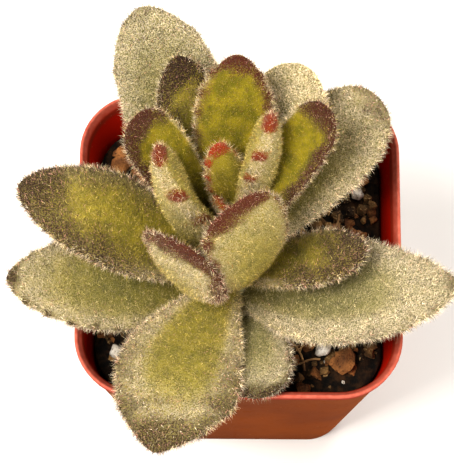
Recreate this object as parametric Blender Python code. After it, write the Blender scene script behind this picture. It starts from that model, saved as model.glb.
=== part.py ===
"""Panda plant in a small square nursery pot: a felted succulent with thick,
boat-shaped leaves set round one short stem that leans to the back.

Frame: the origin is on the pot's underside, at its middle. +Z is up and the
front of the pot faces -Y. Lengths are in metres, entered as millimetres.
"""
from math import acos, cos, pi, radians, sin, sqrt

import bpy
import bmesh
from mathutils import Vector

MM = 0.001
GAP = 0.3 * MM                    # air left between two pieces that touch

# The pot: a thin-walled square cup that widens to a small rolled lip.
POT_HEIGHT = 60 * MM
RIM_WIDTH, RIM_CORNER = 64 * MM, 12 * MM
BASE_WIDTH, BASE_CORNER = 46 * MM, 8 * MM
WALL = 1.0 * MM
FLOOR = 1.6 * MM
LIP_DROP, LIP_OUT = 2.4 * MM, 0.5 * MM
CORNER_STEPS = 5
DRAIN_RADIUS, DRAIN_OFFSET = 3.0 * MM, 13 * MM

# The potting mix: fills the pot to 10 mm under the rim, with a rough top.
SOIL_TOP = 50 * MM
SOIL_RINGS = 7

# The stem: rises out of the mix left of and in front of the pot's middle.
STEM_FOOT = Vector((-1.5 * MM, -9 * MM, SOIL_TOP))
STEM_HEIGHT, STEM_BURIED = 30 * MM, 7 * MM
STEM_LEAN_FOOT, STEM_LEAN_TOP = 12, 30      # degrees from upright, to the back
STEM_RADIUS_FOOT, STEM_RADIUS_TOP = 3.6 * MM, 2.0 * MM

LEAF_SIDES, LEAF_RINGS = 14, 16

# Tip shapes, as the two powers of the curve that closes the blade's outline.
OVAL, ROUND, POINTED = (2.0, 0.62), (2.4, 0.55), (1.8, 0.75)
BLUNT, SQUARE = (3.0, 0.5), (4.5, 0.42)

# Each leaf, oldest first. "on" is how far up the stem it is attached (mm).
# "faces" is the compass direction of its root, anticlockwise from +X, and
# "turn" how far that swings by the tip; "rise" is its slope at root and tip.
# "ease" under 1 makes the bend come early. Angles are in degrees.
# "size" is length, width, thickness (mm). "roll" tilts the blade about its
# midrib, at the root and by how much more at the tip. "widest" is where along
# the length it is broadest, "cup" how far the margins lift, "neck" the root's
# share of the full width.
LEAVES = {
    "leaf_low_left": dict(on=2, faces=186, turn=-8, rise=(27, 9), size=(46, 19, 4.2),
                          roll=(0, 0), widest=0.55, tip=OVAL, cup=0.25, neck=0.26),
    "leaf_low_front_right": dict(on=1, faces=288, turn=-8, rise=(35, 12), size=(27, 15, 3.4),
                                 roll=(0, 0), widest=0.65, tip=ROUND, cup=0.15, neck=0.30),
    "leaf_low_right": dict(on=4, faces=343, turn=25, rise=(27, 9), size=(47, 23, 4.2),
                           roll=(-8, 0), widest=0.48, tip=POINTED, cup=0.20, neck=0.26),
    "leaf_low_front": dict(on=7, faces=240, turn=16, rise=(34, -20), size=(41, 24, 4.6),
                           roll=(0, 0), widest=0.62, tip=POINTED, cup=-0.10, neck=0.22),
    "leaf_outer_left": dict(on=6, faces=160, turn=5, rise=(41, 8), size=(48, 20, 4.8),
                            roll=(10, 0), widest=0.60, tip=OVAL, cup=0.05, neck=0.22),
    "leaf_outer_back_left": dict(on=8, faces=111, turn=2, rise=(42, 22), size=(57, 20, 4.4),
                                 roll=(0, 0), widest=0.70, tip=OVAL, cup=0.25, neck=0.22),
    "leaf_outer_right": dict(on=10, faces=352, turn=19, rise=(30, 22), size=(29, 13, 4.0),
                             roll=(-20, 0), widest=0.60, tip=ROUND, cup=0.20, neck=0.30),
    "leaf_outer_back_right": dict(on=10, faces=48, turn=-8, rise=(40, 24), size=(46, 17, 4.0),
                                  roll=(0, 0), widest=0.72, tip=BLUNT, cup=0.10, neck=0.20),
    "leaf_front_left": dict(on=11, faces=195, turn=46, rise=(6, 104), size=(33, 18, 5.0),
                            roll=(0, 0), widest=0.64, tip=BLUNT, cup=0.20, neck=0.26,
                            ease=0.55),
    "leaf_back_left": dict(on=12, faces=110, turn=-2, rise=(50, 36), size=(45, 13, 3.6),
                           roll=(0, 0), widest=0.70, tip=OVAL, cup=0.15, neck=0.20),
    "leaf_back_right": dict(on=13, faces=66, turn=0, rise=(47, 33), size=(43, 15, 3.8),
                            roll=(0, 0), widest=0.76, tip=ROUND, cup=0.10, neck=0.20),
    "leaf_front": dict(on=14, faces=307, turn=0, rise=(18, 124), size=(33.5, 18, 5.4),
                       roll=(15, -15), widest=0.60, tip=SQUARE, cup=0.05, neck=0.36,
                       ease=0.5),
    "leaf_inner_left": dict(on=15, faces=144, turn=-8, rise=(58, 52), size=(41, 11.5, 3.8),
                            roll=(0, 0), widest=0.76, tip=BLUNT, cup=0.30, neck=0.20),
    "leaf_inner_right": dict(on=15, faces=43, turn=5, rise=(56, 49), size=(41, 10.5, 3.8),
                             roll=(0, 0), widest=0.76, tip=BLUNT, cup=0.30, neck=0.20),
    "leaf_inner_back": dict(on=19, faces=90, turn=-4, rise=(55, 44), size=(40, 15, 3.8),
                            roll=(0, 0), widest=0.66, tip=OVAL, cup=0.10, neck=0.20),
    "leaf_crown_left": dict(on=16.5, faces=220, turn=-108, rise=(56, 66), size=(38, 10.5, 6.6),
                            roll=(70, -5), widest=0.50, tip=ROUND, cup=0.50, neck=0.31,
                            ease=0.52),
    "leaf_crown_right": dict(on=23.5, faces=42, turn=36, rise=(54, 72), size=(30, 8, 6.4),
                             roll=(-55, -30), widest=0.64, tip=ROUND, cup=0.45, neck=0.33),
    "leaf_crown_back": dict(on=26, faces=112, turn=0, rise=(68, 66), size=(20, 7, 3.6),
                            roll=(0, 10), widest=0.62, tip=ROUND, cup=0.25, neck=0.30),
    "leaf_bud": dict(on=27, faces=215, turn=0, rise=(60, 85), size=(10, 6, 3.0),
                     roll=(0, 0), widest=0.60, tip=ROUND, cup=0.20, neck=0.50),
}
OLD_LEAVES, YOUNG_LEAVES = (0.42, 0.46, 0.30), (0.55, 0.52, 0.20)

# Where leaves press together near their roots, the younger one (first) is
# hollowed to fit the older ones that it lies against.
PRESSED = {
    "leaf_low_front": ["leaf_low_left", "leaf_outer_left"],
    "leaf_outer_back_left": ["leaf_outer_left"],
    "leaf_outer_back_right": ["leaf_outer_right", "leaf_outer_back_left"],
    "leaf_front_left": ["leaf_outer_left", "leaf_outer_back_left"],
    "leaf_front": ["leaf_outer_right", "leaf_outer_back_right", "leaf_front_left"],
    "leaf_back_left": ["leaf_outer_back_left"],
    "leaf_back_right": ["leaf_back_left", "leaf_outer_back_right"],
    "leaf_inner_left": ["leaf_back_left"],
    "leaf_inner_right": ["leaf_back_right"],
    "leaf_inner_back": ["leaf_inner_left", "leaf_inner_right"],
    "leaf_crown_left": ["leaf_inner_left", "leaf_inner_back", "leaf_front_left", "leaf_front"],
    "leaf_crown_right": ["leaf_inner_back", "leaf_inner_right", "leaf_front"],
    "leaf_crown_back": ["leaf_inner_back", "leaf_crown_left", "leaf_crown_right"],
    "leaf_bud": ["leaf_crown_left", "leaf_crown_right", "leaf_crown_back", "leaf_front"],
}

# Loose grains on the mix: place of each (x, y), then its size, in mm.
GRAINS = {
    "perlite_1": (17, -19, 3.4), "perlite_2": (22, -8, 2.6),
    "perlite_3": (-24, -20, 3.0), "perlite_4": (24, 14, 2.8),
    "bark_chip_1": (21, -22, 4.4), "bark_chip_2": (25, -16, 3.8),
    "bark_chip_3": (-19, -24, 4.0), "bark_chip_4": (-24, 20, 4.2),
}


def material(name, colour, roughness):
    """A plain surface of one colour."""
    mat = bpy.data.materials.new(name)
    mat.use_nodes = True
    surface = mat.node_tree.nodes["Principled BSDF"]
    surface.inputs["Base Color"].default_value = (*colour, 1.0)
    surface.inputs["Roughness"].default_value = roughness
    return mat


def add_object(name, bm, mat=None):
    """Put a finished bmesh in the scene; a piece without a material cuts."""
    bmesh.ops.recalc_face_normals(bm, faces=bm.faces)
    mesh = bpy.data.meshes.new(name)
    bm.to_mesh(mesh)
    bm.free()
    mesh.shade_smooth()
    mesh.set_sharp_from_angle(angle=radians(50))
    obj = bpy.data.objects.new(name, mesh)
    bpy.context.collection.objects.link(obj)
    if mat:
        mesh.materials.append(mat)
    else:
        obj.hide_render = True
        obj.display_type = 'WIRE'
    return obj


def cut(obj, cutter, solver='EXACT'):
    """Take the cutter's shape out of a piece."""
    boolean = obj.modifiers.new("cut_" + cutter.name, 'BOOLEAN')
    boolean.operation = 'DIFFERENCE'
    boolean.solver = solver
    boolean.object = cutter


def pot_outline(height, inset=0.0):
    """The pot's square outline with round corners, at one height."""
    share = height / POT_HEIGHT
    half = (BASE_WIDTH + (RIM_WIDTH - BASE_WIDTH) * share) / 2 - LIP_OUT * share - inset
    corner = BASE_CORNER + (RIM_CORNER - BASE_CORNER) * share - inset
    points = []
    for quarter in range(4):
        for step in range(CORNER_STEPS + 1):
            angle = (quarter + step / CORNER_STEPS) * pi / 2
            sx = 1 if quarter in (0, 3) else -1
            sy = 1 if quarter in (0, 1) else -1
            points.append(Vector((sx * (half - corner) + corner * cos(angle),
                                  sy * (half - corner) + corner * sin(angle), height)))
    return points


def skin(bm, rings):
    """Close a stack of equal outlines into one solid, capped at both ends."""
    loops = [[bm.verts.new(p) for p in ring] for ring in rings]
    for low, high in zip(loops, loops[1:]):
        for i in range(len(low)):
            j = (i + 1) % len(low)
            bm.faces.new((low[i], low[j], high[j], high[i]))
    bm.faces.new(loops[0])
    bm.faces.new(loops[-1])


def stem_points(low, high, steps):
    """Places along the leaning stem, with the direction it runs in there."""
    found, place, done = [], STEM_FOOT.copy(), 0.0
    fine = 0.5 * MM
    targets = [low + (high - low) * i / steps for i in range(steps + 1)]
    for target in targets:
        sign = 1 if target >= done else -1
        while abs(target - done) > 1e-9:
            step = sign * min(fine, abs(target - done))
            share = min(max((done + step / 2) / STEM_HEIGHT, 0.0), 1.0)
            lean = radians(STEM_LEAN_FOOT + (STEM_LEAN_TOP - STEM_LEAN_FOOT) * share)
            place = place + Vector((0, sin(lean), cos(lean))) * step
            done += step
        share = min(max(done / STEM_HEIGHT, 0.0), 1.0)
        lean = radians(STEM_LEAN_FOOT + (STEM_LEAN_TOP - STEM_LEAN_FOOT) * share)
        found.append((done, place.copy(), lean))
    return found


def stem_solid(extra=0.0):
    """The stem, a tapering round rod with a blunt top, grown by extra."""
    rings = []
    for along, place, lean in stem_points(-STEM_BURIED - extra, STEM_HEIGHT, 12):
        share = min(max(along / STEM_HEIGHT, 0.0), 1.0)
        radius = STEM_RADIUS_FOOT + (STEM_RADIUS_TOP - STEM_RADIUS_FOOT) * share + extra
        across = Vector((0, cos(lean), -sin(lean)))
        rings.append([place + Vector((radius, 0, 0)) * cos(2 * pi * i / 12)
                      + across * radius * sin(2 * pi * i / 12) for i in range(12)])
    lean = radians(STEM_LEAN_TOP)
    onward = Vector((0, sin(lean), cos(lean)))
    middle = sum(rings[-1], Vector()) / 12
    rings.append([middle + onward * (0.8 * MM + extra) + (p - middle) * 0.55 for p in rings[-1]])
    bm = bmesh.new()
    skin(bm, rings)
    return bm


def leaf_outline(along, leaf):
    """Half the blade's width, as a share of its widest half."""
    widest, neck, (power, root) = leaf["widest"], leaf["neck"], leaf["tip"]
    if along < widest:
        share = neck + (1 - neck) * sin(pi / 2 * along / widest) ** 1.6
    else:
        share = max(1 - ((along - widest) / (1 - widest)) ** power, 0.0) ** root
    return share * sqrt(min(along / 0.06, 1.0))


def leaf_solid(leaf, extra=0.0):
    """One leaf: a ball drawn out along a bending midrib, from root to tip."""
    length, width, thick = (value * MM for value in leaf["size"])
    ease = leaf.get("ease", 1.0)
    root = stem_points(0.0, leaf["on"] * MM, 1)[-1][1]

    def direction(along):
        bend = along ** ease
        slope = radians(leaf["rise"][0] + (leaf["rise"][1] - leaf["rise"][0]) * bend)
        facing = radians(leaf["faces"] + leaf["turn"] * bend)
        roll = radians(leaf["roll"][0] + leaf["roll"][1] * bend)
        ahead = Vector((cos(slope) * cos(facing), cos(slope) * sin(facing), sin(slope)))
        level = Vector((-sin(facing), cos(facing), 0))
        above = ahead.cross(level)
        return (ahead, level * cos(roll) + above * sin(roll),
                above * cos(roll) - level * sin(roll))

    steps = 100
    midrib = [root]
    for i in range(steps):
        midrib.append(midrib[-1] + direction((i + 0.5) / steps)[0] * length / steps)

    bm = bmesh.new()
    bmesh.ops.create_uvsphere(bm, u_segments=LEAF_SIDES, v_segments=LEAF_RINGS, radius=1.0)
    for vert in bm.verts:
        x, y, z = vert.co
        ring = 1 - acos(max(-1.0, min(1.0, z))) / pi
        along = 0.35 * ring + 0.65 * (0.5 - 0.5 * cos(pi * ring))
        round_off = sqrt(x * x + y * y)
        spot = min(int(along * steps), steps - 1)
        place = midrib[spot].lerp(midrib[spot + 1], along * steps - spot)
        ahead, side, up = direction(along)
        if round_off < 1e-4:
            vert.co = place + ahead * (extra if z > 0 else -extra)
            continue
        c, s = x / round_off, y / round_off
        half_width = width / 2 * leaf_outline(along, leaf) + extra
        taper = 1 - max((along - 0.7) / 0.3, 0.0) ** 2.2
        half_thick = thick / 2 * sqrt(max(taper, 0.0)) * (0.62 + 0.38 * sin(pi * along)) + extra
        c_flat = abs(c) ** 0.85 * (1 if c > 0 else -1)
        s_flat = abs(s) ** 0.9 * (1 if s > 0 else -1)
        lift = leaf["cup"] * half_width * c_flat ** 2 * sin(pi * along ** 0.8)
        vert.co = place + side * half_width * c_flat + up * (half_thick * s_flat + lift)
    return bm


for old in list(bpy.data.objects):
    bpy.data.objects.remove(old)

plant = bpy.data.objects.new("plant", None)
bpy.context.collection.objects.link(plant)

# The pot's wall is one skin that goes up the outside, over the lip and down
# the inside to the floor.
lip_low = POT_HEIGHT - LIP_DROP
outer = [pot_outline(0.0, 0.6 * MM), pot_outline(0.8 * MM), pot_outline(lip_low - 0.6 * MM),
         pot_outline(lip_low, -LIP_OUT), pot_outline(POT_HEIGHT - 0.4 * MM, -LIP_OUT),
         pot_outline(POT_HEIGHT, -LIP_OUT + 0.4 * MM)]
inner = [pot_outline(POT_HEIGHT, WALL - 0.2 * MM), pot_outline(POT_HEIGHT - 0.5 * MM, WALL),
         pot_outline(FLOOR + 1.0 * MM, WALL), pot_outline(FLOOR, WALL + 1.0 * MM)]
bm = bmesh.new()
skin(bm, outer + inner)
pot = add_object("pot", bm, material("plastic", (0.62, 0.10, 0.035), 0.38))
for number, (sx, sy) in enumerate(((1, 1), (-1, 1), (-1, -1), (1, -1)), 1):
    bm = bmesh.new()
    bmesh.ops.create_cone(bm, cap_ends=True, segments=12, radius1=DRAIN_RADIUS,
                          radius2=DRAIN_RADIUS, depth=4 * FLOOR)
    hole = add_object(f"drain_hole_{number}", bm)
    hole.location = (sx * DRAIN_OFFSET, sy * DRAIN_OFFSET, 0)
    cut(pot, hole)

# The mix is a plug of the pot's inner shape whose top is a set of shrinking
# outlines, lifted into lumps and drawn up a little round the stem.
clear = WALL + GAP
rings = [pot_outline(FLOOR + GAP, clear + 1.1 * MM), pot_outline(FLOOR + 1.2 * MM, clear),
         pot_outline(SOIL_TOP - 1.5 * MM, clear)]
top = pot_outline(SOIL_TOP - 1.5 * MM, clear)
for ring in range(SOIL_RINGS):
    shrink = 1 - ring / SOIL_RINGS
    lifted = []
    for point in top:
        x, y = point.x * (shrink - 0.02), point.y * (shrink - 0.02)
        lump = 0.5 * sin(x / (2.1 * MM)) * cos(y / (1.7 * MM)) + 0.4 * sin((x + 2 * y) / (3.1 * MM))
        lifted.append(Vector((x, y, SOIL_TOP + lump * MM - 0.6 * MM)))
    rings.append(lifted)
bm = bmesh.new()
skin(bm, rings)
soil = add_object("soil", bm, material("mix", (0.045, 0.03, 0.022), 0.9))
cut(soil, add_object("stem_room", stem_solid(GAP)))

grain_coat = material("perlite", (0.72, 0.68, 0.60), 0.8)
bark = material("bark", (0.20, 0.10, 0.05), 0.8)
for name, (x, y, size) in GRAINS.items():
    bm = bmesh.new()
    bmesh.ops.create_icosphere(bm, subdivisions=1, radius=size / 2 * MM)
    squash = 0.75 if name.startswith("perlite") else 0.5
    for vert in bm.verts:
        vert.co.z *= squash
        vert.co.x *= 1.0 + 0.15 * sin(x + 3 * vert.co.y / MM)
    grain = add_object(name, bm, grain_coat if squash > 0.6 else bark)
    lump = 0.5 * sin(x / 2.1) * cos(y / 1.7) + 0.4 * sin((x + 2 * y) / 3.1)
    grain.location = (x * MM, y * MM, SOIL_TOP + (lump - 0.6 + size / 2 * squash + 0.4) * MM)
    grain.rotation_euler = (0, 0, radians(37 * x % 90))

stem = add_object("stem", stem_solid(), material("stem", (0.40, 0.38, 0.22), 0.8))

# Leaves. Every root is trimmed round the stem it grows from. The crown leaves
# are cut several times close to their roots, where the exact solver loses them.
old_leaf = material("old_leaf", OLD_LEAVES, 0.85)
young_leaf = material("young_leaf", YOUNG_LEAVES, 0.85)
leaves = {}
for name, leaf in LEAVES.items():
    leaves[name] = add_object(name, leaf_solid(leaf), young_leaf if leaf["on"] > 13 else old_leaf)
    solver = 'MANIFOLD' if name.startswith("leaf_crown") else 'EXACT'
    cut(leaves[name], bpy.data.objects["stem_room"], solver)
rooms = {}
for name, older in PRESSED.items():
    for neighbour in older:
        if neighbour not in rooms:
            rooms[neighbour] = add_object(f"room_of_{neighbour}", leaf_solid(LEAVES[neighbour], GAP))
        solver = 'MANIFOLD' if name.startswith("leaf_crown") else 'EXACT'
        cut(leaves[name], rooms[neighbour], solver)

for obj in [o for o in bpy.data.objects if o is not plant]:
    obj.parent = plant
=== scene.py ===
"""A panda plant in a small square nursery pot, seen from above its front.

The pot, the potting mix and every leaf are fine meshes that stand for the plain
solids of the model, in its own frame: origin under the middle of the pot, +Z up,
front to -Y. Lengths are in metres, entered as millimetres.
"""
from math import cos, pi, radians, sin

import bpy
import bmesh
import numpy as np
from mathutils import Matrix, Vector, noise


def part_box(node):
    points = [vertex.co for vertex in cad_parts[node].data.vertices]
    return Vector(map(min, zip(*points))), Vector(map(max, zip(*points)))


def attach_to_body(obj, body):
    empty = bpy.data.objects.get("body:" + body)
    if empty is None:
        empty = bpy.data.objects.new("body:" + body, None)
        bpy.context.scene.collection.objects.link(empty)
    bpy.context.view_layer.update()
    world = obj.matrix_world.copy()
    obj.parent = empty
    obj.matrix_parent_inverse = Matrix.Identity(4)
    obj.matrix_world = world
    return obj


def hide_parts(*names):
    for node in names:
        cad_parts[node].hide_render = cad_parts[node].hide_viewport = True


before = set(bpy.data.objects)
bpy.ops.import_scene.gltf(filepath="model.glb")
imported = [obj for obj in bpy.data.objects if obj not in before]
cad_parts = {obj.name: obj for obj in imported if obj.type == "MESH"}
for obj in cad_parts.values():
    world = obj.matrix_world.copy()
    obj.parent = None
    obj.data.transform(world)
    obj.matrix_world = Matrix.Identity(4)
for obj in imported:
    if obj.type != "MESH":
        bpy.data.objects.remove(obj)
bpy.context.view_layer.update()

# Camera: a long lens, 69 degrees above the front of the pot, level to within
# half a degree.
MM = 0.001
elevation, tilt = radians(69), radians(0.4)
aim, distance = Vector((-2.4, 2.2, 60)) * MM, 482 * MM
camera = bpy.data.objects.new("camera", bpy.data.cameras.new("camera"))
bpy.context.collection.objects.link(camera)
bpy.context.scene.camera = camera
camera.data.lens = 189.9
camera.location = aim + Vector((0, -cos(elevation), sin(elevation))) * distance
camera.rotation_euler = (Matrix.Rotation(pi / 2 - elevation, 4, 'X')
                         @ Matrix.Rotation(tilt, 4, 'Z')).to_euler()

# Light: a broad soft box at the upper left, a weaker one at the right, one from
# behind and an even pale surround, shown with a little more contrast than plain.
for name, place, size, power in (("key", (-300, -140, 640), 320, 6.6),
                                 ("fill", (440, -330, 420), 420, 2.6),
                                 ("top", (160, 440, 520), 420, 2.2)):
    lamp = bpy.data.objects.new(name, bpy.data.lights.new(name, 'AREA'))
    bpy.context.collection.objects.link(lamp)
    lamp.data.size, lamp.data.energy, lamp.data.color = size * MM, power, (1.0, 0.97, 0.92)
    lamp.location = Vector(place) * MM
    lamp.rotation_euler = (Vector((0, 0, 60)) * MM - lamp.location).to_track_quat('-Z', 'Y').to_euler()
world = bpy.data.worlds.new("surround")
bpy.context.scene.world = world
world.use_nodes = True
world.node_tree.nodes["Background"].inputs["Color"].default_value = (1.0, 0.98, 0.95, 1)
world.node_tree.nodes["Background"].inputs["Strength"].default_value = 0.30
bpy.context.scene.view_settings.view_transform = 'Standard'
bpy.context.scene.view_settings.gamma = 0.85
bpy.context.scene.view_settings.exposure = 0.2


# The floor: one large sheet of smooth white card that the pot stands on. It
# runs far past the view on every side and belongs to the picture alone.
class Value:
    """A number or colour inside a material: arithmetic on it adds nodes."""

    def __init__(self, tree, socket):
        self.tree, self.socket = tree, socket

    def made(self, kind, out=0, inputs=(), **settings):
        """Any other node, fed from this value and from a list of (input, value)."""
        node = self.tree.nodes.new(kind)
        for key, setting in settings.items():
            setattr(node, key, setting)
        for key, value in inputs:
            if isinstance(value, Value):
                self.tree.links.new(value.socket, node.inputs[key])
            else:
                node.inputs[key].default_value = value
        return Value(self.tree, node.outputs[out])

    def _math(self, operation, first, second):
        return self.made("ShaderNodeMath", inputs=[(0, first), (1, second)], operation=operation)

    def __add__(self, other):
        return self._math('ADD', self, other)

    def __radd__(self, other):
        return self._math('ADD', other, self)

    def __sub__(self, other):
        return self._math('SUBTRACT', self, other)

    def __rsub__(self, other):
        return self._math('SUBTRACT', other, self)

    def __mul__(self, other):
        return self._math('MULTIPLY', self, other)

    def __rmul__(self, other):
        return self._math('MULTIPLY', other, self)

    def within(self, low, high):
        """Nought below low, one above high, and a smooth rise between."""
        return self.made("ShaderNodeMapRange", interpolation_type='SMOOTHSTEP',
                         inputs=[("Value", self), ("From Min", low), ("From Max", high)])

    def blend(self, first, second):
        """One colour where this is nought, the other where it is one."""
        return self.made("ShaderNodeMix", out=2, data_type='RGBA',
                         inputs=[(0, self), (6, first), (7, second)])

    def grain(self, scale, detail=2.0):
        """Noise fixed to the object, at so many lumps a metre."""
        return self.made("ShaderNodeTexNoise",
                         inputs=[("Vector", self), ("Scale", scale), ("Detail", detail)])

    def painted(self, name, out=2):
        """What the mesh says at each point, by the name it is stored under."""
        return self.made("ShaderNodeAttribute", out=out, attribute_name=name)


def surface(name, roughness, **fixed):
    """A new material: itself, its shader node and its object coordinates."""
    mat = bpy.data.materials.new(name)
    mat.use_nodes = True
    shader = mat.node_tree.nodes["Principled BSDF"]
    shader.inputs["Roughness"].default_value = roughness
    for key, value in fixed.items():
        shader.inputs[key.replace("_", " ")].default_value = value
    place = mat.node_tree.nodes.new("ShaderNodeTexCoord")
    return mat, shader, Value(mat.node_tree, place.outputs["Object"])


def attach(shader, socket, value):
    """Feed a value to one of the shader's sockets."""
    value.tree.links.new(value.socket, shader.inputs[socket])


def as_mesh(bm, name):
    """Turn a finished bmesh into a mesh and free it, its faces in order of place.

    Spun and extruded faces are numbered in another order on each run, and the
    felt is drawn by number, so without this every run would grow other hairs.
    """
    ordered = sorted(bm.faces, key=lambda face: sorted(vert.co[:] for vert in face.verts))
    for number, face in enumerate(ordered):
        face.index = number
    bm.faces.sort()
    mesh = bpy.data.meshes.new(name)
    bm.to_mesh(mesh)
    bm.free()
    return mesh


card, shader, place = surface("card", 0.9)
attach(shader, "Base Color", place.grain(30).within(0.2, 0.8).blend(
    (0.86, 0.85, 0.84, 1), (0.88, 0.875, 0.865, 1)))
bm = bmesh.new()
bmesh.ops.create_grid(bm, x_segments=1, y_segments=1, size=2.0)
floor = bpy.data.objects.new("floor", as_mesh(bm, "floor"))
floor.data.materials.append(card)
bpy.context.collection.objects.link(floor)

# The pot: one thin moulding of red-orange plastic, a square cup with round
# corners that widens to a narrow lip. It is scuffed dull outside, deep red
# inside, and has a drain hole near each corner of its base. A pale pink
# highlight is painted along the top of the lip.
POT_HEIGHT, RIM_WIDTH, RIM_CORNER = 60 * MM, 64 * MM, 12 * MM
BASE_WIDTH, BASE_CORNER = 46 * MM, 8 * MM
WALL, FLOOR, LIP_DROP, LIP_OUT = 1.0 * MM, 1.6 * MM, 2.4 * MM, 0.5 * MM
CORNER_STEPS, SIDE_STEPS = 12, 6
DRAIN_RADIUS, DRAIN_FROM_MIDDLE = 3 * MM, 13 * MM


def pot_outline(height, inset=0.0):
    """The pot's square outline with round corners, at one height."""
    share = height / POT_HEIGHT
    half = (BASE_WIDTH + (RIM_WIDTH - BASE_WIDTH) * share) / 2 - LIP_OUT * share - inset
    corner = BASE_CORNER + (RIM_CORNER - BASE_CORNER) * share - inset
    corners = []
    for quarter in range(4):
        sx, sy = (1 if quarter in (0, 3) else -1), (1 if quarter in (0, 1) else -1)
        for step in range(CORNER_STEPS + 1):
            angle = (quarter + step / CORNER_STEPS) * pi / 2
            corners.append(Vector((sx * (half - corner) + corner * cos(angle),
                                   sy * (half - corner) + corner * sin(angle), height)))
    points = []
    for i, point in enumerate(corners):
        points.append(point)
        if i % (CORNER_STEPS + 1) == CORNER_STEPS:
            onward = corners[(i + 1) % len(corners)]
            points += [point.lerp(onward, k / SIDE_STEPS) for k in range(1, SIDE_STEPS)]
    return points


def drawn_up(bm, outlines):
    """Extrude a flat cap from each outline to the next, and return the rings."""
    circle = bmesh.ops.create_circle(bm, cap_ends=True, segments=len(outlines[0]), radius=1)
    cap = circle["verts"][0].link_faces[0]
    rings = []
    for number, outline in enumerate(outlines):
        if number:
            raised = bmesh.ops.extrude_face_region(bm, geom=[cap])["geom"]
            if number > 1:
                bmesh.ops.delete(bm, geom=[cap], context='FACES_ONLY')
            cap = next(part for part in raised if isinstance(part, bmesh.types.BMFace))
        rings.append(list(cap.verts))
        for vert, spot in zip(cap.verts, outline):
            vert.co = spot
    bmesh.ops.recalc_face_normals(bm, faces=bm.faces)
    return rings


def rough(shader, height, depth):
    """Raise the surface by a pattern, depth metres high."""
    bump = height.made("ShaderNodeBump", inputs=[("Height", height), ("Distance", depth)])
    attach(shader, "Normal", bump)


def finished(name, mesh, mat, node=None, *, smooth):
    """Link a piece to the scene: what it stands for and takes its finish from."""
    mesh.materials.append(mat)
    mesh.shade_smooth()
    mesh.set_sharp_from_angle(angle=radians(smooth))
    obj = bpy.data.objects.new(name, mesh)
    bpy.context.collection.objects.link(obj)
    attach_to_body(obj, "root")
    if node:
        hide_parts(node)
    return obj


lip_low = POT_HEIGHT - LIP_DROP
outlines = [pot_outline(0.0, 0.7 * MM), pot_outline(0.25 * MM, 0.3 * MM), pot_outline(0.8 * MM)]
outlines += [pot_outline(lip_low * k / 6) for k in range(1, 6)]
outlines += [pot_outline(lip_low - 0.7 * MM), pot_outline(lip_low - 0.3 * MM, -0.15 * MM)]
for step in range(9):                       # the lip's round edge
    turn = pi * step / 8
    outlines.append(pot_outline(lip_low + 0.3 * MM + (LIP_DROP - 0.8 * MM) * min(step, 1)
                                + 0.5 * MM * sin(turn), -0.1 * MM - 0.4 * MM * cos(turn)))
outlines += [pot_outline(POT_HEIGHT - 0.9 * MM, 0.75 * MM), pot_outline(POT_HEIGHT - 1.6 * MM, WALL)]
outlines += [pot_outline(POT_HEIGHT * k / 6, WALL) for k in (5, 4, 3, 2, 1)]
outlines += [pot_outline(FLOOR + 1.0 * MM, WALL), pot_outline(FLOOR, WALL + 1.0 * MM)]
bm = bmesh.new()
inner_side = bm.verts.layers.float.new("inner_side")
for ring in drawn_up(bm, outlines)[-8:]:
    for vert in ring:
        vert[inner_side] = 1.0

plastic, shader, place = surface("red_plastic", 0.4, IOR=1.0, Metallic=0.12)
cloud, fleck = place.grain(55, 4), place.grain(900, 3)
height_up = place.made("ShaderNodeSeparateXYZ", out=2, inputs=[(0, place)])
outside = cloud.within(0.25, 0.75).blend((0.165, 0.036, 0.004, 1), (0.235, 0.058, 0.008, 1))
inside = cloud.within(0.25, 0.75).blend((0.40, 0.008, 0.002, 1), (0.52, 0.016, 0.004, 1))
moulded = place.painted("inner_side").blend(outside, inside)
lip_red = height_up.within(0.0565, 0.0580).blend(moulded, (0.30, 0.030, 0.012, 1))
# Painted highlight: a pale pink band, spotted by fine noise, along the very top of the lip stands in for
# light glinting off it.
lip_painted_highlight = height_up.within(0.0585, 0.0599) * (0.10 + 0.6 * fleck)
lip_with_painted_highlight = lip_painted_highlight.blend(lip_red, (0.80, 0.28, 0.20, 1))
dusty = (fleck.within(0.66, 0.76) * 0.35).blend(lip_with_painted_highlight, (0.45, 0.26, 0.16, 1))
attach(shader, "Base Color", dusty)
attach(shader, "Roughness", 0.30 + 0.22 * cloud + 0.25 * fleck.within(0.55, 0.75))
rough(shader, cloud * 0.6 + fleck * 0.25, 0.0002)
pot = finished("pot_shell", as_mesh(bm, "pot_shell"), plastic, "pot", smooth=50)
for sx, sy in ((1, 1), (-1, 1), (-1, -1), (1, -1)):
    bm = bmesh.new()
    bmesh.ops.create_cone(bm, cap_ends=True, segments=32, radius1=DRAIN_RADIUS,
                          radius2=DRAIN_RADIUS, depth=6 * MM)
    bmesh.ops.translate(bm, verts=bm.verts, vec=(sx * DRAIN_FROM_MIDDLE, sy * DRAIN_FROM_MIDDLE, 0))
    cutter = bpy.data.objects.new("drain_cutter", as_mesh(bm, "drain_cutter"))
    bpy.context.collection.objects.link(cutter)
    hole = pot.modifiers.new("drain", 'BOOLEAN')
    hole.operation, hole.solver, hole.object = 'DIFFERENCE', 'EXACT', cutter
    drained = bpy.data.meshes.new_from_object(
        pot.evaluated_get(bpy.context.evaluated_depsgraph_get()))
    pot.modifiers.clear()
    pot.data = drained
    bpy.data.objects.remove(cutter)

# The potting mix: dark peat with a crumbly top, pressed in by hand to 10 mm
# under the rim. Grains and chips of other stuff lie in its surface.
SOIL_TOP, GAP, SOIL_RINGS = 50 * MM, 0.3 * MM, 52


def soil_height(x, y):
    """The mix's lumpy top, clods and crumbs, about 1 mm either way."""
    spot = Vector((x, y, 0)) / MM
    clods = noise.noise(spot * 0.16 + Vector((3, 7, 0))) * 0.9
    crumbs = noise.noise(spot * 0.55) * 0.55 + noise.noise(spot * 1.3) * 0.3
    return SOIL_TOP + (clods + crumbs - 0.3) * MM


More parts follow.
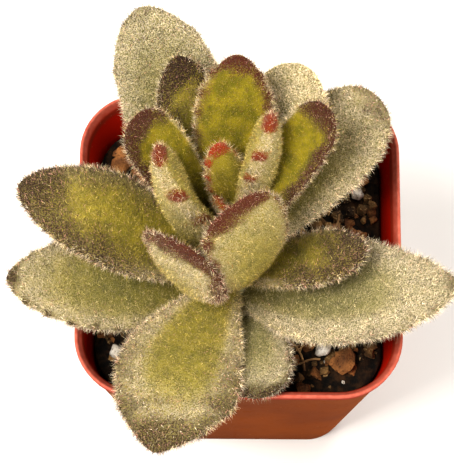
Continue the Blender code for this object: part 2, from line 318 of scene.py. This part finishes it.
clear = WALL + GAP
outlines = [pot_outline(FLOOR + GAP, clear + 1.1 * MM), pot_outline(FLOOR + 1.2 * MM, clear)]
outlines += [pot_outline(height * MM, clear) for height in (20, 40, 48.4)]
edge = outlines[-1]
for ring in range(SOIL_RINGS):
    share = 1 - (ring + 0.4) / SOIL_RINGS
    outlines.append([Vector((p.x * share, p.y * share, soil_height(p.x * share, p.y * share)))
                     for p in edge])
bm = bmesh.new()
drawn_up(bm, outlines)
peat, shader, place = surface("peat", 0.95, Specular_IOR_Level=0.25)
crumb, fibre = place.grain(700, 6), place.grain(220, 3)
dark = crumb.within(0.35, 0.7).blend((0.003, 0.002, 0.001, 1), (0.032, 0.015, 0.005, 1))
attach(shader, "Base Color", fibre.within(0.55, 0.75).blend(dark, (0.07, 0.032, 0.012, 1)))
rough(shader, crumb + fibre * 0.5, 0.0009)
finished("potting_mix", as_mesh(bm, "potting_mix"), peat, "soil", smooth=80)

# Grains in the mix: white perlite, brown bark chips and grey-brown grit, each a
# separate broken lump that lies partly sunk among the crumbs.
GRAINS = {
    "perlite_1": 3.4, "perlite_2": 2.6, "perlite_3": 3.0, "perlite_4": 2.8,
    "bark_chip_1": 4.4, "bark_chip_2": 3.8, "bark_chip_3": 4.0, "bark_chip_4": 4.2,
}
LOOSE_REACH, CORNER_CUT = 27.2, 7
# Each loose kind: its name, stuff and slot, how many, the smallest and the largest.
LOOSE = (("loose_grit", "grit", "potting_mix", 700, 0.8, 2.6),
         ("loose_bark", "bark", "bark", 260, 1.0, 4.4),
         ("loose_perlite", "perlite", "perlite", 75, 0.7, 2.2))


def lump(bm, place, size, squash, seed, detail, broken):
    """One broken grain: a ball pushed in and out by noise."""
    made = bmesh.ops.create_icosphere(bm, subdivisions=detail, radius=size / 2 * MM)["verts"]
    spin = Matrix.Rotation(seed * 1.7, 3, 'Z') @ Matrix.Rotation(seed * 0.9 % 0.7, 3, 'X')
    for vert in made:
        bump = noise.noise(vert.co / (size * 0.42 * MM) + Vector((seed, 0, 0)))
        vert.co = vert.co * (1 + broken * bump)
        vert.co.z *= squash
        vert.co.x *= 0.85 + 0.3 * (seed * 0.37 % 1)
        vert.co = spin @ vert.co + place


def grain_material(name, low, high, spots):
    """A mineral or woody crumb whose colour drifts between two shades."""
    mat, shader, place = surface(name, 0.85, Specular_IOR_Level=0.3)
    wide, fine = place.grain(260, 3), place.grain(2400, 2)
    body = wide.within(0.3, 0.7).blend(low, high)
    attach(shader, "Base Color", fine.within(0.58, 0.72).blend(body, spots))
    rough(shader, fine + wide * 0.5, 0.0004)
    return mat


stuff = {
    "perlite": grain_material("perlite", (0.42, 0.37, 0.29, 1), (0.74, 0.70, 0.62, 1), (0.25, 0.20, 0.15, 1)),
    "bark": grain_material("bark", (0.10, 0.038, 0.012, 1), (0.34, 0.150, 0.045, 1), (0.04, 0.018, 0.008, 1)),
    "grit": grain_material("grit", (0.030, 0.016, 0.006, 1), (0.26, 0.145, 0.050, 1), (0.44, 0.30, 0.14, 1)),
}
for number, (name, size) in enumerate(GRAINS.items(), 1):
    low, high = (Vector(corner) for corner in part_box(name))
    kind = "perlite" if name.startswith("perlite") else "bark"
    flat, broken = (0.75, 0.35) if kind == "perlite" else (0.5, 0.6)
    bm = bmesh.new()
    lump(bm, (low + high) / 2, size * 0.96, flat, number * 2.3, detail=3, broken=broken)
    finished(name + "_grain", as_mesh(bm, name + "_grain"), stuff[kind], name, smooth=40)
rng = np.random.default_rng(11)
for name, kind, slot, count, smallest, largest in LOOSE:
    bm = bmesh.new()
    for number in range(count):
        x, y = rng.uniform(-LOOSE_REACH, LOOSE_REACH, 2)
        size = smallest + (largest - smallest) * rng.random() ** 2
        if abs(x) + abs(y) > 2 * LOOSE_REACH - CORNER_CUT:
            x, y = x * 0.8, y * 0.8
        proud = rng.uniform(-0.1, 0.3) * size * MM
        spot = Vector((x * MM, y * MM, soil_height(x * MM, y * MM) + proud))
        lump(bm, spot, size, rng.uniform(0.3, 0.8), rng.uniform(0, 40),
             detail=1 if size < 1.6 else 2, broken=0.4 if kind == "perlite" else 0.7)
    finished(name, as_mesh(bm, name), stuff[kind], smooth=35)

# Fibres: coarse brown rootlets and coir threads in the mix, each a short bent
# strand that lies across the crumbs with its ends pushed down into them.
FIBRES, FIBRE_REACH, FIBRE_PROUD = 150, 22, 1.0
coir, shader, place = surface("coir", 0.8, Specular_IOR_Level=0.3)
strand = place.grain(300, 3)
tone = strand.within(0.3, 0.7).blend((0.12, 0.060, 0.022, 1), (0.48, 0.30, 0.13, 1))
attach(shader, "Base Color", tone)
rough(shader, strand, 0.0003)
bm = bmesh.new()
for number in range(FIBRES):
    x, y = rng.uniform(-FIBRE_REACH, FIBRE_REACH, 2)
    bend, arc, thick = rng.uniform(3, 9) * MM, rng.uniform(0.5, 1.3), rng.uniform(0.13, 0.26) * MM
    end = bmesh.ops.create_circle(bm, cap_ends=True, segments=4, radius=thick)["verts"]
    face = end[0].link_faces[0]
    before = len(bm.verts) - len(end)
    bmesh.ops.spin(bm, geom=end + list(face.edges) + [face], cent=(bend, 0, 0), axis=(0, 1, 0),
                   angle=arc, steps=5)
    bm.verts.ensure_lookup_table()
    made = bm.verts[before:]
    bmesh.ops.rotate(bm, verts=made, cent=(bend, 0, 0), matrix=Matrix.Rotation(pi / 2 - arc / 2, 3, 'Y'))
    highest = max(vert.co.z for vert in made)
    lean = Matrix.Rotation(rng.uniform(0, 2 * pi), 3, 'Z') @ Matrix.Rotation(rng.uniform(0.9, 1.4), 3, 'X')
    bmesh.ops.translate(bm, verts=made, vec=(-bend, 0, -highest))
    bmesh.ops.rotate(bm, verts=made, cent=(0, 0, 0), matrix=lean)
    height = soil_height(x * MM, y * MM) + FIBRE_PROUD * MM
    bmesh.ops.translate(bm, verts=made, vec=(x * MM, y * MM, height))
bmesh.ops.recalc_face_normals(bm, faces=bm.faces)
finished("loose_fibres", as_mesh(bm, "loose_fibres"), coir, smooth=60)

# The stem: short, round and felted, pale green-brown, growing out of the mix
# and leaning back. Every leaf is attached to it.
STEM_FOOT = np.array([-1.5, -9.0, 50.0])
STEM_HEIGHT, STEM_BURIED = 30, 7
STEM_LEAN_FOOT, STEM_LEAN_TOP = 12, 30
STEM_RADIUS_FOOT, STEM_RADIUS_TOP = 3.6, 2.0
STEM_SIDES, STEM_RINGS, STEM_DOME = 32, 48, 3
stem_along = np.linspace(-STEM_BURIED, STEM_HEIGHT, 371)
stem_lean = np.radians(STEM_LEAN_FOOT + (STEM_LEAN_TOP - STEM_LEAN_FOOT)
                       * np.clip(stem_along / STEM_HEIGHT, 0, 1))
stem_way = np.stack([0 * stem_lean, np.sin(stem_lean), np.cos(stem_lean)], 1)
stem_path = np.cumsum(np.vstack([np.zeros(3), (stem_way[1:] + stem_way[:-1]) / 2 * 0.1]), 0)


def on_stem(height):
    """The stem's centre line at a height along it, in mm."""
    at = [np.interp(height, stem_along, stem_path[:, axis]) for axis in range(3)]
    foot = [np.interp(0.0, stem_along, stem_path[:, axis]) for axis in range(3)]
    return np.array(at) - foot + STEM_FOOT


outlines = []
for step in range(STEM_RINGS + 1):
    along = -STEM_BURIED + (STEM_HEIGHT + STEM_BURIED) * step / STEM_RINGS
    lean = np.interp(along, stem_along, stem_lean)
    radius = STEM_RADIUS_FOOT + (STEM_RADIUS_TOP - STEM_RADIUS_FOOT) * max(along / STEM_HEIGHT, 0)
    radius *= 1 + 0.035 * sin(along * 2.1)          # old leaf scars
    if step > STEM_RINGS - STEM_DOME:
        radius *= (1 - ((step - STEM_RINGS + STEM_DOME) / (STEM_DOME + 0.4)) ** 2) ** 0.5
    middle, across = Vector(on_stem(along)), Vector((0, cos(lean), -sin(lean)))
    turns = [2 * pi * side / STEM_SIDES for side in range(STEM_SIDES)]
    outlines.append([(middle + (Vector((1, 0, 0)) * cos(turn) + across * sin(turn)) * radius) * MM
                     for turn in turns])
bm = bmesh.new()
drawn_up(bm, outlines)
stem_mesh = as_mesh(bm, "stem_skin")
rind, shader, place = surface("stem_rind", 0.85, Sheen_Weight=0.3)
patch = place.grain(600, 4)
tone = patch.within(0.3, 0.7).blend((0.20, 0.16, 0.07, 1), (0.42, 0.38, 0.19, 1))
attach(shader, "Base Color", tone)
rough(shader, patch, 0.0005)
finished("stem_skin", stem_mesh, rind, "stem", smooth=60)

# The felt: stiff white, golden and brown hairs about 1 mm long, which grow out
# of the stem and of every leaf. Each is a closed three-sided sliver, and keeps a
# colour of its own under "tint".
HAIRS_PER_MM2, HAIR_RADIUS, HAIR_SUNK, STEM_HAIRS = 11.5, 0.038, 0.04, 6000
FACES_AREA = 1.4    # a leaf's two faces, taken as this much of length times width
SILVER_HAIR, CREAM_HAIR = np.array([0.34, 0.30, 0.13]), np.array([0.98, 0.82, 0.56])
GOLD_HAIR, STRAW_HAIR = np.array([0.44, 0.33, 0.012]), np.array([0.86, 0.66, 0.24])
FROST_HAIR, ROSE_HAIR = np.array([1.0, 0.86, 0.69]), np.array([0.58, 0.32, 0.24])
BROWN_HAIR, RUST_HAIR = np.array([0.045, 0.016, 0.009]), np.array([0.42, 0.065, 0.012])
AMBER_HAIR = np.array([0.30, 0.12, 0.015])
down_hair, shader, place = surface("felt_hair", 0.6, Specular_IOR_Level=0.3, Sheen_Weight=0.2,
                                   Sheen_Tint=(1.0, 0.92, 0.75, 1))
attach(shader, "Base Color", place.painted("tint", out=0))
bm = bmesh.new()
bmesh.ops.create_cone(bm, cap_ends=True, segments=3, radius1=1, radius2=0, depth=1)
bmesh.ops.translate(bm, verts=bm.verts, vec=(0, 0, 0.5))
hair_points = np.array([vert.co for vert in bm.verts])
hair_faces = np.array([[vert.index for vert in face.verts] for face in bm.faces])
bm.free()


def smooth(x, low, high):
    """Nought below low, one above high, and a smooth rise between."""
    x = np.clip((x - low) / (high - low), 0, 1)
    return x * x * (3 - 2 * x)


def felt(name, mesh, points, tints, count, long, edge, lean_way, seed):
    """Hairs over one skin, denser at its edge, as long and leaning as they are told."""
    rng = np.random.default_rng(seed)
    mesh.calc_loop_triangles()
    tri = np.empty(len(mesh.loop_triangles) * 3, int)
    mesh.loop_triangles.foreach_get("vertices", tri)
    tri = tri.reshape(-1, 3)
    a, b, c = (points[tri[:, k]] for k in range(3))
    facing = np.cross(b - a, c - a)
    area = np.linalg.norm(facing, axis=1) / 2
    facing = facing / np.maximum(area[:, None] * 2, 1e-9)
    weight = area * np.where(facing[:, 2] < -0.5, 0.55, 1.0) * (1 + 0.8 * edge[tri[:, 0]])
    pick = rng.choice(len(tri), count, p=weight / weight.sum())
    u, v = rng.random((2, count))
    u, v = np.where(u + v > 1, 1 - u, u), np.where(u + v > 1, 1 - v, v)
    w = 1 - u - v

    def spread(values):
        values = np.asarray(values)
        shape = (-1,) + (1,) * (values.ndim - 1)
        corner = [values[tri[pick, k]] for k in range(3)]
        share = [part.reshape(shape) for part in (w, u, v)]
        return corner[0] * share[0] + corner[1] * share[1] + corner[2] * share[2]

    root, out = spread(points), facing[pick]
    aside = rng.normal(size=(count, 3))
    aside -= out * (aside * out).sum(1)[:, None]
    aside /= np.linalg.norm(aside, axis=1)[:, None]
    way = out * rng.uniform(0.35, 1.0, count)[:, None] + aside * 0.55 + spread(lean_way) * 0.35
    way /= np.linalg.norm(way, axis=1)[:, None]
    length = spread(long) * rng.uniform(0.5, 1.35, count)
    thin = HAIR_RADIUS * rng.uniform(0.7, 1.3, count)
    cross = np.cross(way, aside)
    cross /= np.maximum(np.linalg.norm(cross, axis=1)[:, None], 1e-9)
    other = np.cross(way, cross)
    across = cross[:, None] * hair_points[:, :1] + other[:, None] * hair_points[:, 1:2]
    upward = (way * length[:, None])[:, None] * hair_points[:, 2:]
    corners = (root - out * HAIR_SUNK)[:, None] + across * thin[:, None, None] + upward
    hair = bpy.data.meshes.new(name)
    each = len(hair_points)
    hair.vertices.add(count * each)
    hair.vertices.foreach_set("co", (corners * MM).ravel())
    index = (hair_faces[None] + each * np.arange(count)[:, None, None]).reshape(-1)
    hair.loops.add(len(index))
    hair.loops.foreach_set("vertex_index", index.astype(np.int32))
    hair.polygons.add(len(index) // 3)
    hair.polygons.foreach_set("loop_start", np.arange(0, len(index), 3, dtype=np.int32))
    hair.update(calc_edges=True)
    tuft = np.array([noise.noise(Vector(spot)) for spot in root * 1.9 + seed])
    colour = tints(spread, rng, count) * np.clip(1 + 0.9 * tuft, 0.4, 1.6)[:, None]
    layer = hair.color_attributes.new("tint", 'FLOAT_COLOR', 'POINT')
    four = np.concatenate([colour, np.ones((count, 1))], 1)
    layer.data.foreach_set("color", np.repeat(four, each, axis=0).astype(np.float32).ravel())
    return finished(name, hair, down_hair, smooth=30)


def stem_tints(spread, rng, count):
    """Cream and silver hairs, a few of them brown."""
    pale = SILVER_HAIR + (CREAM_HAIR - SILVER_HAIR) * rng.random((count, 1))
    mixed = np.where(rng.random((count, 1)) < 0.2, BROWN_HAIR, pale)
    return mixed * rng.uniform(0.4, 1.2, (count, 1))


points = np.array([vert.co for vert in stem_mesh.vertices]) / MM
above_mix = smooth(points[:, 2], 50.5, 52.0)
felt("stem_felt", stem_mesh, points, stem_tints, STEM_HAIRS, 0.15 + 0.6 * above_mix, above_mix * 0,
     points * 0 + stem_way[-1], 40)

# The leaves: thick boat-shaped blades of green flesh under felt, oldest first.
# Each grows straight out of the stem; old ones lie out flat and silver-green,
# young ones stand up, fold like boats and turn brown and red at their edges.
#
# Shape: "on" is how many mm up the stem a leaf grows, "faces" the compass
# direction of its root, "turn" how far that swings by the tip, "rise" its slope
# at root and tip, "roll" its twist there, "size" its length, width and thickness,
# "widest" how far along that is, "tip" the kind of end, "cup" how far the sides
# turn up, "neck" the width of the root, "ease" below one bends it near the root.
# Felt: "gold" goes from silver-green to yellow-green, "pale" is how much cream
# felt veils it, "frost" and "halo" how much more there is near the rim and on
# it, "bright" its lightness.
# Edge: "brown" says how strong the brown is, how wide in mm, and how much of it
# runs down the side that is to the left, and to the right, when looking back
# from the tip. "red" turns it red, "stain" is how far it stains the flesh,
# "dusk" darkens the whole rim, "teeth" counts the blunt teeth on each side,
# "dots" keeps the brown to the teeth, "under" is how much shows underneath.
OVAL, ROUND, POINTED = (2.0, 0.62), (2.4, 0.55), (1.8, 0.75)
BLUNT, SQUARE = (3.0, 0.5), (4.5, 0.42)
LEAVES = {
    "leaf_low_left": dict(
        on=2, faces=186, turn=-8, rise=(27, 9), size=(46, 19, 4.2), roll=(0, 0), widest=0.55,
        tip=OVAL, cup=0.25, neck=0.26,
        gold=0.35, pale=0.2, frost=0.8, bright=1.1, brown=(0.8, 2.2, 0.9, 0.8), red=0.0,
        stain=0.75, dusk=0.2, teeth=5, dots=0.6),
    "leaf_low_front_right": dict(
        on=1, faces=288, turn=-8, rise=(35, 12), size=(27, 15, 3.4), roll=(0, 0), widest=0.65,
        tip=ROUND, cup=0.15, neck=0.3,
        gold=0.05, pale=0.42, frost=0.6, brown=(0.8, 2.4, 1.0, 0.5), red=0.0, stain=0.75,
        dusk=0.2, teeth=4, dots=0.6),
    "leaf_low_right": dict(
        on=4, faces=343, turn=25, rise=(27, 9), size=(47, 23, 4.2), roll=(-8, 0), widest=0.48,
        tip=POINTED, cup=0.2, neck=0.26,
        gold=0.08, pale=0.35, frost=1.0, bright=1.15, brown=(0.6, 3.0, 0.6, 0.8), red=0.0,
        stain=0.5, dusk=0.15, teeth=4, dots=0.5),
    "leaf_low_front": dict(
        on=7, faces=240, turn=16, rise=(34, -20), size=(41, 24, 4.6), roll=(0, 0), widest=0.62,
        tip=POINTED, cup=-0.1, neck=0.22,
        gold=0.6, pale=0.32, frost=1.0, bright=1.2, brown=(0.95, 8.0, 0.9, 0.7), red=0.0,
        stain=0.48, dusk=0.3, teeth=3),
    "leaf_outer_left": dict(
        on=6, faces=160, turn=5, rise=(41, 8), size=(48, 20, 4.8), roll=(10, 0), widest=0.6,
        tip=OVAL, cup=0.05, neck=0.22,
        gold=0.8, pale=0.26, frost=0.6, bright=1.15, brown=(1.0, 9.0, 1.0, 0.7), red=0.0,
        stain=0.58, dusk=0.45, teeth=0),
    "leaf_outer_back_left": dict(
        on=8, faces=111, turn=2, rise=(42, 22), size=(57, 20, 4.4), roll=(0, 0), widest=0.7,
        tip=OVAL, cup=0.25, neck=0.22,
        gold=0.15, pale=0.35, frost=0.6, bright=1.05, brown=(0.45, 3.0, 0.8, 0.6), red=0.0,
        stain=0.4, dusk=0.2, teeth=3),
    "leaf_outer_right": dict(
        on=10, faces=352, turn=19, rise=(30, 22), size=(29, 13, 4.0), roll=(-20, 0), widest=0.6,
        tip=ROUND, cup=0.2, neck=0.3,
        gold=0.8, pale=0.18, frost=0.6, bright=1.15, brown=(1.0, 8.0, 0.5, 1.0), red=0.0,
        stain=0.62, dusk=0.2, teeth=0),
    "leaf_outer_back_right": dict(
        on=10, faces=48, turn=-8, rise=(40, 24), size=(46, 17, 4.0), roll=(0, 0), widest=0.72,
        tip=BLUNT, cup=0.1, neck=0.2,
        gold=0.3, pale=0.45, frost=0.6, bright=1.25, brown=(0.7, 4.0, 0.9, 0.4), red=0.0,
        stain=0.4, dusk=0.25, teeth=3),
    "leaf_front_left": dict(
        on=11, faces=195, turn=46, rise=(6, 104), size=(33, 18, 5.0), roll=(0, 0), widest=0.64,
        tip=BLUNT, cup=0.2, neck=0.26, ease=0.55,
        gold=0.7, pale=0.4, halo=0.6, brown=(1.0, 2.8, 0.9, 0.9), red=0.20, teeth=3, under=1.0),
    "leaf_back_left": dict(
        on=12, faces=110, turn=-2, rise=(50, 36), size=(45, 13, 3.6), roll=(0, 0), widest=0.7,
        tip=OVAL, cup=0.15, neck=0.2,
        gold=0.8, pale=0.15, brown=(0.9, 6.5, 0.9, 0.5), red=0.0, stain=0.9, teeth=0),
    "leaf_back_right": dict(
        on=13, faces=66, turn=0, rise=(47, 33), size=(43, 15, 3.8), roll=(0, 0), widest=0.76,
        tip=ROUND, cup=0.1, neck=0.2,
        gold=0.3, pale=1.0, bright=1.5, brown=(0.1, 1.5, 0.5, 0.5), red=0.1, teeth=0),
    "leaf_front": dict(
        on=14, faces=307, turn=0, rise=(18, 124), size=(33.5, 18, 5.4), roll=(15, -15),
        widest=0.6, tip=SQUARE, cup=0.05, neck=0.36, ease=0.5,
        gold=0.75, pale=0.36, frost=0.3, halo=0.5, bright=1.05, brown=(1.0, 2.5, 0.7, 0.9),
        red=0.24, teeth=3.4, dots=0.5, under=1.0),
    "leaf_inner_left": dict(
        on=15, faces=144, turn=-8, rise=(58, 52), size=(41, 11.5, 3.8), roll=(0, 0), widest=0.76,
        tip=BLUNT, cup=0.3, neck=0.2,
        gold=0.95, pale=0.0, frost=0.1, brown=(1.0, 3.6, 1.0, 0.12), red=0.14, teeth=0),
    "leaf_inner_right": dict(
        on=15, faces=43, turn=5, rise=(56, 49), size=(41, 10.5, 3.8), roll=(0, 0), widest=0.76,
        tip=BLUNT, cup=0.3, neck=0.2,
        gold=1.0, pale=0.0, frost=0.1, brown=(1.0, 3.3, 0.15, 1.0), red=0.14, teeth=0),
    "leaf_inner_back": dict(
        on=19, faces=90, turn=-4, rise=(55, 44), size=(40, 15, 3.8), roll=(0, 0), widest=0.66,
        tip=OVAL, cup=0.1, neck=0.2,
        gold=0.9, pale=0.0, frost=0.05, brown=(1.0, 2.8, 0.55, 1.0), red=0.22, teeth=5, dots=0.4),
    "leaf_crown_left": dict(
        on=16.5, faces=220, turn=-108, rise=(56, 66), size=(38, 10.5, 6.6), roll=(70, -5),
        widest=0.5, tip=ROUND, cup=0.5, neck=0.31, ease=0.52,
        gold=0.75, pale=0.42, frost=0.2, halo=0.3, bright=1.05, brown=(1.0, 1.9, 1.0, 0.0),
        red=0.50, teeth=2.2, dots=1.0, under=1.0),
    "leaf_crown_right": dict(
        on=23.5, faces=42, turn=36, rise=(54, 72), size=(30, 8, 6.4), roll=(-55, -30),
        widest=0.64, tip=ROUND, cup=0.45, neck=0.33,
        gold=0.8, pale=0.45, frost=0.2, halo=0.3, bright=1.05, brown=(1.0, 1.7, 0.0, 1.0),
        red=0.70, teeth=2.2, dots=1.0, under=1.0),
    "leaf_crown_back": dict(
        on=26, faces=112, turn=0, rise=(68, 66), size=(20, 7, 3.6), roll=(0, 10), widest=0.62,
        tip=ROUND, cup=0.25, neck=0.3,
        gold=0.95, pale=0.3, frost=0.2, halo=0.4, brown=(1.0, 1.8, 1.0, 0.5), red=1.0, teeth=3,
        dots=0.7),
    "leaf_bud": dict(
        on=27, faces=215, turn=0, rise=(60, 85), size=(10, 6, 3.0), roll=(0, 0), widest=0.6,
        tip=ROUND, cup=0.2, neck=0.5,
        gold=0.9, pale=0.6, brown=(0.7, 1.2, 0.8, 0.8), red=1.0, teeth=0),
}
LEAF_SIDES, LEAF_RINGS, MIDRIB_STEPS = 40, 64, 200
TOOTH_DEPTH, GROOVE_DEPTH, YOUNG_ABOVE = 0.42, 0.35, 12


def leaf_blade(leaf, seed):
    """One leaf: its mesh, its points in mm, and what its skin and felt are there."""
    length, width, thick = leaf["size"]
    ease = leaf.get("ease", 1.0)

    def direction(along):
        """Which way is ahead, to the side and up, at shares of the leaf's length."""
        bend = np.asarray(along, float) ** ease
        slope = np.radians(leaf["rise"][0] + (leaf["rise"][1] - leaf["rise"][0]) * bend)
        facing = np.radians(leaf["faces"] + leaf["turn"] * bend)
        roll = np.radians(leaf["roll"][0] + leaf["roll"][1] * bend)[..., None]
        ahead = np.stack([np.cos(slope) * np.cos(facing), np.cos(slope) * np.sin(facing),
                          np.sin(slope)], -1)
        level = np.stack([-np.sin(facing), np.cos(facing), 0 * facing], -1)
        above = np.cross(ahead, level)
        return (ahead, level * np.cos(roll) + above * np.sin(roll),
                above * np.cos(roll) - level * np.sin(roll))

    steps = np.arange(MIDRIB_STEPS)
    way = direction((steps + 0.5) / MIDRIB_STEPS)[0] * length / MIDRIB_STEPS
    midrib = on_stem(leaf["on"]) + np.vstack([np.zeros(3), np.cumsum(way, 0)])

    bm = bmesh.new()
    bmesh.ops.create_uvsphere(bm, u_segments=LEAF_SIDES, v_segments=LEAF_RINGS, radius=1.0)
    mesh = as_mesh(bm, "blade")
    ball = np.empty(len(mesh.vertices) * 3)
    mesh.vertices.foreach_get("co", ball)
    x, y, z = ball.reshape(-1, 3).T
    ring = 1 - np.arccos(np.clip(z, -1, 1)) / pi
    along = 0.35 * ring + 0.65 * (0.5 - 0.5 * np.cos(pi * ring))
    reach = np.maximum(np.hypot(x, y), 1e-9)
    pole = np.hypot(x, y) < 1e-4
    c, s = x / reach, y / reach

    # The outline: a narrow root, the widest place, and a tip of the leaf's own
    # shape, with blunt teeth on its upper half and a slight natural wander.
    widest, neck, (power, root) = leaf["widest"], leaf["neck"], leaf["tip"]
    rise = neck + (1 - neck) * np.sin(pi / 2 * np.clip(along / widest, 0, 1)) ** 1.6
    fall = np.maximum(1 - np.clip((along - widest) / (1 - widest), 0, 1) ** power, 0) ** root
    share = np.where(along < widest, rise, fall) * np.sqrt(np.clip(along / 0.06, 0, 1))
    tooth = 0 * along
    if leaf["teeth"]:
        count = (1 - along) * leaf["teeth"] * 2.1 + 0.12 * c * np.sin(seed)
        tooth = np.maximum(np.cos(2 * pi * count), 0) * smooth(along, 0.42, 0.6)
    wander = 0.12 * np.sin(along * 9 + seed) + 0.10 * np.sin(along * 17 + 2 * seed) * c
    half_width = width / 2 * share + (TOOTH_DEPTH * tooth + wander) * smooth(share, 0.2, 0.6)
    taper = np.clip(1 - np.clip((along - 0.7) / 0.3, 0, 1) ** 2.2, 0, 1)
    half_thick = thick / 2 * np.sqrt(taper) * (0.62 + 0.38 * np.sin(pi * along))
    c_flat = np.abs(c) ** 0.85 * np.sign(c)
    s_flat = np.abs(s) ** 0.9 * np.sign(s)
    from_ridge = np.hypot(half_width * (1 - np.abs(c_flat)), half_thick * s_flat * 0.8)
    lift = leaf["cup"] * half_width * c_flat ** 2 * np.sin(pi * along ** 0.8)
    groove = -GROOVE_DEPTH * np.exp(-(c_flat * 3.5) ** 2) * (s > 0) * s_flat
    groove = groove * smooth(along, 0.05, 0.3) * (1 - along)
    mid = np.stack([np.interp(along * MIDRIB_STEPS, np.arange(MIDRIB_STEPS + 1), midrib[:, axis])
                    for axis in range(3)], -1)
    ahead, side, up = direction(along)
    points = (mid + side * np.where(pole, 0, half_width * c_flat)[:, None]
              + up * np.where(pole, 0, half_thick * s_flat + lift + groove)[:, None])
    mesh.vertices.foreach_set("co", (points * MM).ravel())

    # The brown edge follows the tip and the sides, strongest at the teeth.
    strength, band, left, right = leaf["brown"]
    ragged = 0.5 * np.sin(along * 31 + 3 * c + seed) + 0.5 * np.sin(along * 53 + 5 * c + 2 * seed)
    from_side = from_ridge + 0.16 * band * ragged
    from_tip = (1 - along) * length * 0.9 + 0.2 * band * ragged
    side_share = left + (right - left) * smooth(-c, -0.5, 0.5)
    side_share = side_share + (1 - side_share) * smooth(along, 0.86, 0.97)
    dots = leaf.get("dots", 0.2)
    spotted = 1 - dots + dots * tooth
    near_side = 1 - smooth(from_side, 0.1 * band, 1.2 * band)
    down_side = smooth(along, 0.18, 0.62) * side_share * spotted * near_side
    at_tip = 1 - smooth(from_tip, 0.1 * band, 1.7 * band)
    brown = strength * np.maximum(down_side, at_tip)
    brown = brown * np.where(s < -0.25, leaf.get("under", 0.65), 1.0)
    edge = 1 - smooth(from_ridge, 0.4, 1.7)
    rim = 1 - (1 - smooth(np.abs(c_flat), 0.25, 1.0)) * (1 - smooth(along, 0.5, 1.0))
    brown = np.maximum(brown, leaf.get("dusk", 0.1) * rim)
    pale = leaf["pale"] + leaf.get("frost", 0.45) * rim + leaf.get("halo", 1.0) * edge
    pale = pale + 0.2 * (s < -0.1)
    pale = np.clip(pale, 0, 1) * (0.75 + 0.25 * smooth(along, 0.0, 0.3))
    gold = np.clip(leaf["gold"] + 0.25 * (1 - smooth(along, 0.05, 0.6)) - 0.1, 0, 1)
    long = (0.75 if leaf["on"] > YOUNG_ABOVE else 0.85) + 0.4 * edge
    return mesh, points, brown, pale, gold, ahead, long, edge


flesh, shader, place = surface("leaf_flesh", 0.75, Subsurface_Weight=0.25, Subsurface_Scale=0.0015,
                               Sheen_Weight=0.15, Sheen_Roughness=0.4, Specular_IOR_Level=0.2,
                               Sheen_Tint=(1.0, 0.9, 0.68, 1))
shader.inputs["Subsurface Radius"].default_value = (1.0, 0.9, 0.25)
brown_at = place.painted("brown")
pale_at = place.painted("pale")
gold_at = place.painted("gold")
red_at = place.painted("red")
dapple, down = place.grain(420, 3), place.grain(4200, 2)
speck = down.within(0.36, 0.64)
silver = dapple.within(0.3, 0.7).blend((0.085, 0.088, 0.018, 1), (0.15, 0.143, 0.038, 1))
golden = dapple.within(0.3, 0.7).blend((0.18, 0.155, 0.001, 1), (0.37, 0.29, 0.003, 1))
green = gold_at.blend(silver, golden)
veil = gold_at.blend((0.72, 0.60, 0.31, 1), (0.52, 0.41, 0.06, 1))
veil = pale_at.within(0.5, 1.0).blend(veil, (0.80, 0.67, 0.47, 1))
veiled = (pale_at * (0.10 + 0.7 * speck)).blend(green, veil)
dark_brown = red_at.blend((0.045, 0.020, 0.012, 1), (0.32, 0.038, 0.010, 1))
patchy = brown_at * (0.45 + 0.9 * speck)
tan = red_at.within(0.1, 0.5).blend((0.13, 0.095, 0.030, 1), (0.27, 0.10, 0.010, 1))
amber = patchy.within(0.05, 0.5).blend(veiled, tan)
attach(shader, "Base Color", patchy.within(0.22, 0.72).blend(amber, dark_brown))
rough(shader, down + dapple * 0.4, 0.0005)
for seed, (name, leaf) in enumerate(LEAVES.items(), 1):
    mesh, points, brown, pale, gold, ahead, long, edge = leaf_blade(leaf, seed * 1.9)
    slot = "young_leaf" if leaf["on"] > YOUNG_ABOVE else "old_leaf"
    for key, values in (("brown", brown * leaf.get("stain", 1.0)), ("pale", pale), ("gold", gold),
                        ("red", np.full(len(points), leaf["red"]))):
        layer = mesh.attributes.new(key, 'FLOAT', 'POINT')
        layer.data.foreach_set("value", values.astype(np.float32))
    mesh.name = name + "_blade"
    finished(name + "_blade", mesh, flesh, name, smooth=70)

    def tints(spread, rng, count, brown=brown * (1 - 0.55 * edge), pale=pale, gold=gold, leaf=leaf):
        """White and golden hairs, turning brown or rusty at the dark edges."""
        is_pale, is_gold, is_brown = spread(pale), spread(gold), spread(brown)
        mixed = SILVER_HAIR + (GOLD_HAIR - SILVER_HAIR) * is_gold[:, None]
        creamy = rng.random(count) ** (2.6 - 1.8 * is_pale) * (0.35 + 0.65 * is_pale)
        cream = CREAM_HAIR + (STRAW_HAIR - CREAM_HAIR) * is_gold[:, None]
        cream = cream + (FROST_HAIR - cream) * smooth(is_pale, 0.55, 1.1)[:, None]
        mixed = mixed + (cream - mixed) * creamy[:, None]
        dark = BROWN_HAIR + (RUST_HAIR - BROWN_HAIR) * leaf["red"]
        rose = (rng.random(count) < 0.26 + 0.10 * leaf["red"])[:, None]
        dark = np.where(rose, ROSE_HAIR, dark)
        turned = smooth(is_brown, 0.05, 0.35) if leaf["red"] > 0.12 else np.ones(count)
        dark = AMBER_HAIR + (dark - AMBER_HAIR) * turned[:, None]
        browned = (rng.random(count) < np.clip(1.4 * is_brown, 0, 0.90))[:, None]
        light = rng.uniform(0.4, 1.45, (count, 1))
        return np.where(browned, dark, mixed) * light * leaf.get("bright", 1.0)

    length, width = leaf["size"][:2]
    count = int(HAIRS_PER_MM2 * FACES_AREA * length * width)
    felt(name + "_felt", mesh, points, tints, count, long, edge, ahead, seed)
